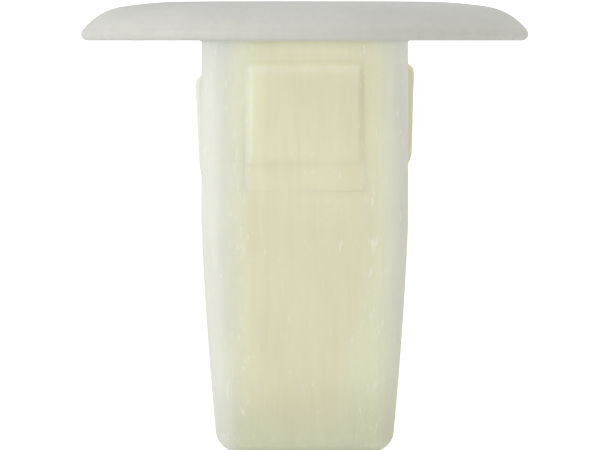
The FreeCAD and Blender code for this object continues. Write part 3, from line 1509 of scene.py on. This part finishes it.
@dataclass(frozen=True)
class Studio:
    """A white floor under even white light, a key lamp from the left and a long lens.

    Lengths are in millimetres.

    Args:
        lens: The lens's focal length.
        sensor: The sensor's width.
        frame_width: Width of the view at the screw's axis.
        near: The nearest distance that the camera sees.
        far: The farthest.
        aim_x: The middle of the view, from the screw's axis.
        aim_z: Its height.
        ambient: Strength of the light from all round.
        floor_gap: How far the floor lies under the tip.
        floor_radius: The floor's radius.
        floor_segments: Steps round its edge.
        floor_shades: The darkest and the lightest grey of its grain.
        floor_grain: The grain's fineness, across a metre.
        floor_roughness: The shine's roughness.
        floor_glow: The floor's own light on the object.
        floor_seen: Its further light in the camera's eyes.
        lamps: The lamps.
    """

    lens: float = 600.0
    sensor: float = 36.0
    frame_width: float = 22.8
    near: float = 10.0
    far: float = 10000.0
    aim_x: float = -0.18
    aim_z: float = -7.0
    ambient: float = 0.72
    floor_gap: float = 0.02
    floor_radius: float = 1600.0
    floor_segments: int = 96
    floor_shades: Range = (0.80, 0.84)
    floor_grain: float = 40.0
    floor_roughness: float = 0.9
    floor_glow: float = 0.12
    floor_seen: float = 0.5
    lamps: tuple[Lamp, ...] = (
        Lamp("key", (-90.0, -66.0, 14.0), 115.0, 0.055),
        Lamp("fill", (110.0, -150.0, 8.0), 130.0, 0.008),
    )

    def floor(self, lowest: float) -> None:
        """Lays a wide pale floor just under the tip. It can't be seen from below.

        Args:
            lowest: Height of the tip, in metres.
        """
        level, radius = lowest - self.floor_gap * MM, self.floor_radius * MM
        count = self.floor_segments
        points = [
            Vector((radius * math.cos(angle), radius * math.sin(angle), level))
            for angle in (2 * math.pi * index / count for index in range(count))
        ]
        build = bmesh.new()
        build.faces.new([build.verts.new(point) for point in points])
        mesh = bpy.data.meshes.new("studio_floor")
        build.to_mesh(mesh)
        build.free()
        made = new_object("studio_floor", mesh)
        mesh.materials.append(self.floor_material())

    def floor_material(self) -> bpy.types.Material:
        """The floor's pale grain, clear from below and brighter in the camera's eyes.

        Returns:
            The material.
        """
        material = bpy.data.materials.new("studio_white")
        material.use_nodes = True
        graph = Graph(material.node_tree)
        shader = graph.add("ShaderNodeBsdfPrincipled")
        place = graph.add("ShaderNodeTexCoord").outputs["Object"]
        grain = graph.noise(place, self.floor_grain, detail=2.0)
        dark, light = ((grey, grey, grey, 1.0) for grey in self.floor_shades)
        pale = graph.blend(grain, dark, light)
        behind = graph.term(graph.add("ShaderNodeNewGeometry").outputs["Backfacing"])
        seen = graph.term(graph.add("ShaderNodeLightPath").outputs["Is Camera Ray"])
        graph.fill(
            shader,
            Base_Color=pale,
            Roughness=self.floor_roughness,
            Alpha=1.0 - behind,
            Emission_Color=(1.0, 1.0, 1.0, 1.0),
            Emission_Strength=seen * self.floor_seen + self.floor_glow,
        )
        output = graph.add("ShaderNodeOutputMaterial")
        graph.feed(output.inputs["Surface"], shader.outputs["BSDF"])
        return material

    def light(self) -> None:
        """Even white surroundings and the lamps."""
        world = bpy.data.worlds.new("studio")
        world.use_nodes = True
        graph = Graph(world.node_tree)
        seen = graph.term(graph.add("ShaderNodeLightPath").outputs["Is Camera Ray"])
        backdrop = graph.add("ShaderNodeBackground")
        graph.fill(backdrop, Color=(1.0, 1.0, 1.0, 1.0), Strength=self.ambient + seen)
        output = graph.add("ShaderNodeOutputWorld")
        graph.feed(output.inputs["Surface"], backdrop.outputs[0])
        bpy.context.scene.world = world
        target = Vector((0.0, 0.0, self.aim_z)) * MM
        for lamp in self.lamps:
            data = bpy.data.lights.new(lamp.name, "AREA")
            data.size = lamp.width * MM
            data.energy = lamp.watts
            made = bpy.data.objects.new(lamp.name, data)
            bpy.context.scene.collection.objects.link(made)
            made.location = Vector(lamp.place) * MM
            away = made.location - target
            made.rotation_euler = away.to_track_quat("Z", "Y").to_euler()

    def camera(self) -> None:
        """A long lens level with the flange's underside, aimed at the middle of the object."""
        data = bpy.data.cameras.new("camera")
        data.lens = self.lens
        data.sensor_width = self.sensor
        data.clip_start = self.near * MM
        data.clip_end = self.far * MM
        made = bpy.data.objects.new("camera", data)
        bpy.context.scene.collection.objects.link(made)
        distance = self.lens / self.sensor * self.frame_width
        made.location = Vector((self.aim_x, -distance, 0.0)) * MM
        aim = Vector((self.aim_x, 0.0, self.aim_z)) * MM
        made.rotation_euler = (aim - made.location).to_track_quat("-Z", "Y").to_euler()
        bpy.context.scene.camera = made
        bpy.context.scene.view_settings.view_transform = "Standard"


# ---------------------------------------------------------------------- main


def mount(name: str) -> dict[str, Any]:
    """One of the record's mounts, by name."""
    return next(m for m in frame["record"]["mounts"] if m["name"] == name)


def flange_from_frame() -> Flange:
    """Reads the flange's sizes from the CAD frame.

    Returns:
        The flange.
    """
    _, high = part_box("flange")
    return Flange(
        radius=high.x / MM,
        thickness=high.z / MM,
        entry_radius=mount("screw_entry")["dims"]["r_mm"],
    )


def shank_from_frame() -> Shank:
    """Reads the shank's sizes from the CAD frame.

    Returns:
        The shank.
    """
    neck_low, neck_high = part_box("neck")
    barrel_low, barrel_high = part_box("barrel")
    tip_low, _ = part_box("tip")
    post_low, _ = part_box("corner_post_back_right")
    pilot = mount("pilot_bore")
    pilot_middle = -pilot["pos_m"][2] / MM
    pilot_half = pilot["dims"]["length_mm"] / 2
    return Shank(
        half=neck_high.x / MM,
        length=-tip_low.z / MM,
        window_top=-neck_low.z / MM,
        window_bottom=-barrel_high.z / MM,
        window_half=post_low.x / MM,
        entry_radius=mount("screw_entry")["dims"]["r_mm"],
        pilot_radius=pilot["dims"]["r_mm"],
        pilot_top=pilot_middle - pilot_half,
        pilot_bottom=pilot_middle + pilot_half,
        floor_depth=-barrel_low.z / MM,
    )


def main() -> None:
    """Builds the finishes, the pieces and the studio, and reports each piece."""
    logging.basicConfig(level=logging.INFO, format="%(name)s: %(message)s")
    tone_group, skin_group = MouldedTone().build(), MouldedSkin().build()
    for finish in (FLANGE_NYLON, SHANK_NYLON, LUG_NYLON):
        finish.material(tone_group, skin_group)
    pieces = [flange_from_frame().build(), shank_from_frame().build()]
    tree = snap_arm_tree()
    pieces += [SnapArm.from_frame(side).build(tree) for side in Side]
    for piece in pieces:
        log.info("%s has %d faces", piece.name, len(piece.data.polygons))
    studio = Studio()
    studio.floor(cad_box[0].z)
    studio.light()
    studio.camera()


if __name__ == "__main__":
    main()
